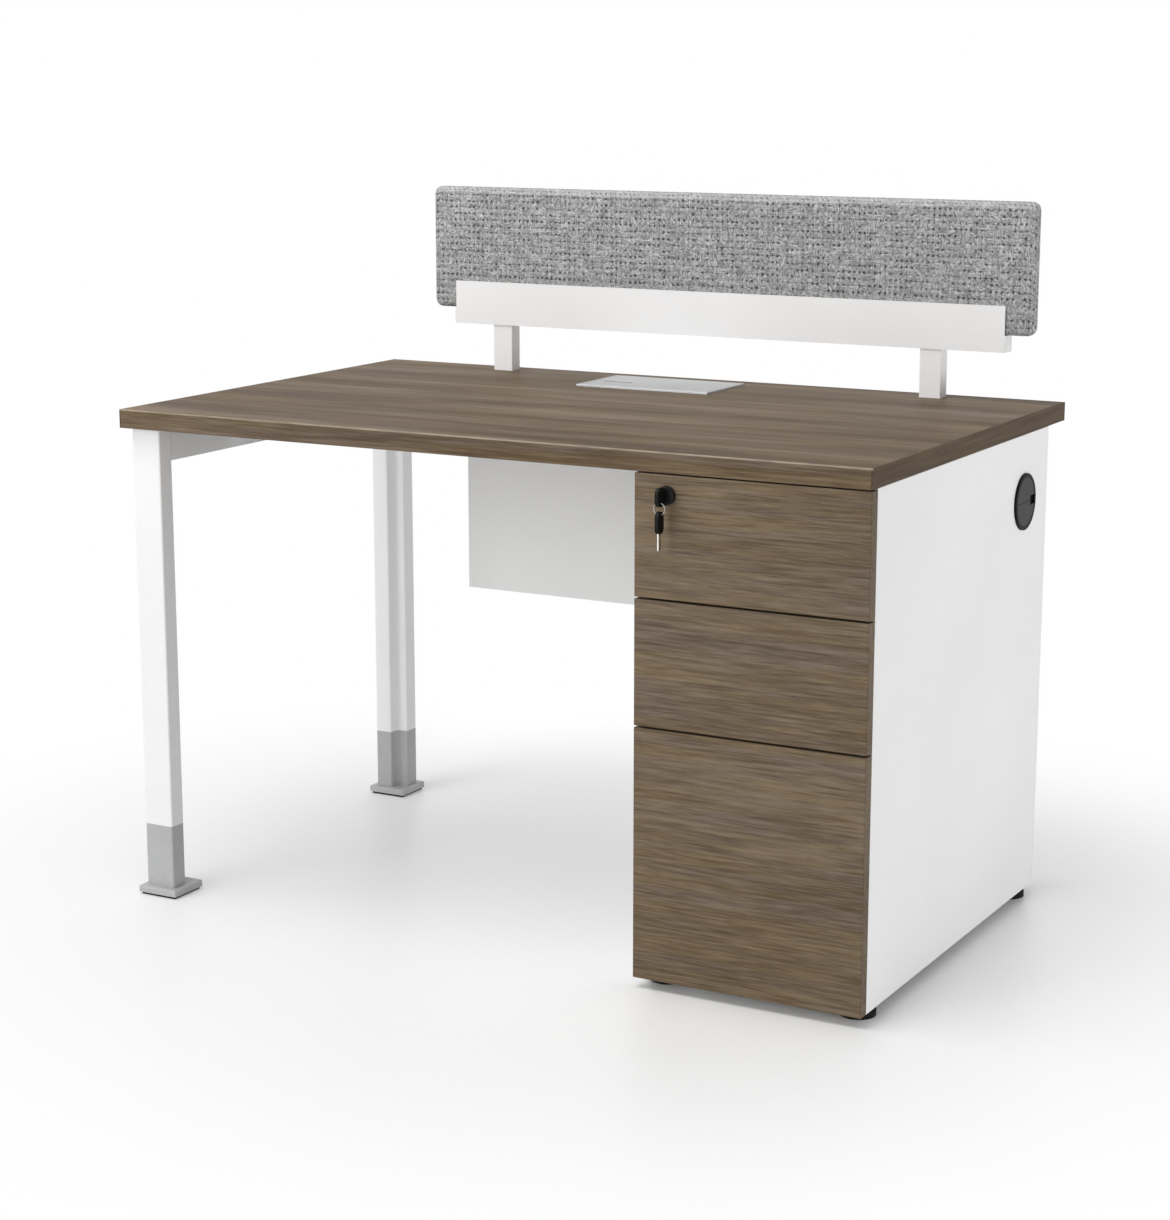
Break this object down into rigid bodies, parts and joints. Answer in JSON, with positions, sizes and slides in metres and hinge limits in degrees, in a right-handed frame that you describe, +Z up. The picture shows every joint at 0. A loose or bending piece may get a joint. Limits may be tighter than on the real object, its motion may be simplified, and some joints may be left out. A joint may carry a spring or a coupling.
{
  "type": "office desk",
  "caption": "Straight office desk with a wood-look top, a steel leg frame, a locking drawer pedestal, a lidded cable port and a fabric screen on posts along the rear edge.",
  "frame": {"origin": "on the floor, at the middle of the desktop's width and of the whole depth, which includes the key", "axes": "+X to the pedestal, to the right of the person who sits at it; +Y to the rear, where the screen is; +Z up"},
  "size_m": [1.204, 0.7804, 1.05],
  "materials": {
    "wood_laminate": "matt grey-brown laminate with a fine lengthwise grain",
    "white_steel": "white powder coat",
    "white_board": "white melamine on chipboard",
    "grey_casting": "grey powder coat",
    "black_rubber": "matt",
    "bright_steel": "zinc plated",
    "black_lock": "black lacquer",
    "black_plastic": "fine matt grain",
    "bare_aluminium": "satin brushed",
    "white_plastic": "satin",
    "grey_fabric": "grey basket weave with mottled yarns",
    "core_board": "raw fibreboard"
  },
  "bodies": {
    "desk": {"desktop": "wood_laminate", "desktop_edging": "wood_laminate", "front_leg": "white_steel", "rear_leg": "white_steel", "leg_beam": "white_steel", "front_crossbeam": "white_steel", "rear_crossbeam": "white_steel", "cable_tray": "white_steel", "screen_post_left": "white_steel", "screen_post_right": "white_steel", "screen_rail": "white_steel", "modesty_panel": "white_board", "pedestal_left_side": "white_board", "pedestal_right_side": "white_board", "pedestal_bottom": "white_board", "pedestal_top": "white_board", "pedestal_divider": "white_board", "pedestal_rear_panel": "white_board", "front_foot_sleeve": "grey_casting", "rear_foot_sleeve": "grey_casting", "leg_foot_pads": "black_rubber", "angle_brackets": "bright_steel", "frame_screws": "bright_steel", "glide_sockets": "bright_steel", "runner_outer_members": "bright_steel", "grommet_ring": "black_plastic", "cable_box_frame": "bare_aluminium", "rail_end_caps": "white_plastic", "screen_fabric": "grey_fabric", "screen_core": "core_board"},
    "drawer_top": {"drawer_top_front": "wood_laminate", "drawer_top_walls": "white_board", "drawer_top_bottom": "white_board", "runner_inner_top": "bright_steel", "lock_barrel": "black_lock"},
    "drawer_middle": {"drawer_middle_front": "wood_laminate", "drawer_middle_walls": "white_board", "drawer_middle_bottom": "white_board", "runner_inner_middle": "bright_steel"},
    "drawer_file": {"drawer_file_front": "wood_laminate", "drawer_file_walls": "white_board", "drawer_file_bottom": "white_board", "runner_inner_file": "bright_steel", "file_rails": "bright_steel"},
    "runners_top": {"runner_middle_top": "bright_steel"},
    "runners_middle": {"runner_middle_middle": "bright_steel"},
    "runners_file": {"runner_middle_file": "bright_steel"},
    "lock": {"lock_plug": "black_lock", "key_blade": "bright_steel", "key_bow": "black_plastic"},
    "lock_rod": {"lock_bar": "bright_steel"},
    "ring": {"key_ring": "bright_steel"},
    "spare_key": {"spare_key_blade": "bright_steel", "spare_key_bow": "black_plastic"},
    "lid": {"cable_box_lid": "bare_aluminium"},
    "cap": {"grommet_cap": "black_plastic"},
    "glide_fl": {"glide_front_left": "black_plastic"},
    "glide_fr": {"glide_front_right": "black_plastic"},
    "glide_rl": {"glide_rear_left": "black_plastic"},
    "glide_rr": {"glide_rear_right": "black_plastic"}
  },
  "joints": [
    {"name": "drawer_top_slide", "type": "slide", "parent": "desk", "child": "drawer_top", "axis": [0, -1, 0], "range_m": [0, 0.45]},
    {"name": "runners_top_slide", "type": "slide", "parent": "desk", "child": "runners_top", "axis": [0, -1, 0], "range_m": [0, 0.225]},
    {"name": "drawer_middle_slide", "type": "slide", "parent": "desk", "child": "drawer_middle", "axis": [0, -1, 0], "range_m": [0, 0.45]},
    {"name": "runners_middle_slide", "type": "slide", "parent": "desk", "child": "runners_middle", "axis": [0, -1, 0], "range_m": [0, 0.225]},
    {"name": "drawer_file_slide", "type": "slide", "parent": "desk", "child": "drawer_file", "axis": [0, -1, 0], "range_m": [0, 0.45]},
    {"name": "runners_file_slide", "type": "slide", "parent": "desk", "child": "runners_file", "axis": [0, -1, 0], "range_m": [0, 0.225]},
    {"name": "lock_turn", "type": "hinge", "parent": "drawer_top", "child": "lock", "pos_m": [0.308, -0.35975, 0.693], "axis": [0, 1, 0], "range_deg": [0, 90]},
    {"name": "lock_rod_slide", "type": "slide", "parent": "desk", "child": "lock_rod", "axis": [0, 0, -1], "range_m": [0, 0.005]},
    {"name": "ring_swing", "type": "hinge", "parent": "lock", "child": "ring", "pos_m": [0.308, -0.38125, 0.68585], "axis": [1, 0, 0], "range_deg": [-60, 10]},
    {"name": "spare_key_hang", "type": "hinge", "parent": "ring", "child": "spare_key", "pos_m": [0.308, -0.38125, 0.67765], "axis": [0, 1, 0], "range_deg": [-90, 0]},
    {"name": "lid_hinge", "type": "hinge", "parent": "desk", "child": "lid", "pos_m": [-0.028, 0.33525, 0.7515], "axis": [-1, 0, 0], "range_deg": [0, 80]},
    {"name": "cap_turn", "type": "hinge", "parent": "desk", "child": "cap", "pos_m": [0.6, 0.21825, 0.623], "axis": [1, 0, 0], "continuous": true},
    {"name": "glide_fl_turn", "type": "hinge", "parent": "desk", "child": "glide_fl", "pos_m": [0.287, -0.30475, 0], "axis": [0, 0, 1], "continuous": true},
    {"name": "glide_fr_turn", "type": "hinge", "parent": "desk", "child": "glide_fr", "pos_m": [0.573, -0.30475, 0], "axis": [0, 0, 1], "continuous": true},
    {"name": "glide_rl_turn", "type": "hinge", "parent": "desk", "child": "glide_rl", "pos_m": [0.287, 0.28225, 0], "axis": [0, 0, 1], "continuous": true},
    {"name": "glide_rr_turn", "type": "hinge", "parent": "desk", "child": "glide_rr", "pos_m": [0.573, 0.28225, 0], "axis": [0, 0, 1], "continuous": true}
  ],
  "couplings": [
    {"joint": "runners_top_slide", "follows": "drawer_top_slide", "ratio": 0.5},
    {"joint": "runners_middle_slide", "follows": "drawer_middle_slide", "ratio": 0.5},
    {"joint": "runners_file_slide", "follows": "drawer_file_slide", "ratio": 0.5},
    {"joint": "lock_turn", "follows": "lock_rod_slide", "rad_per_m": 314.16},
    {"joint": "spare_key_hang", "follows": "lock_rod_slide", "rad_per_m": -314.16}
  ]
}
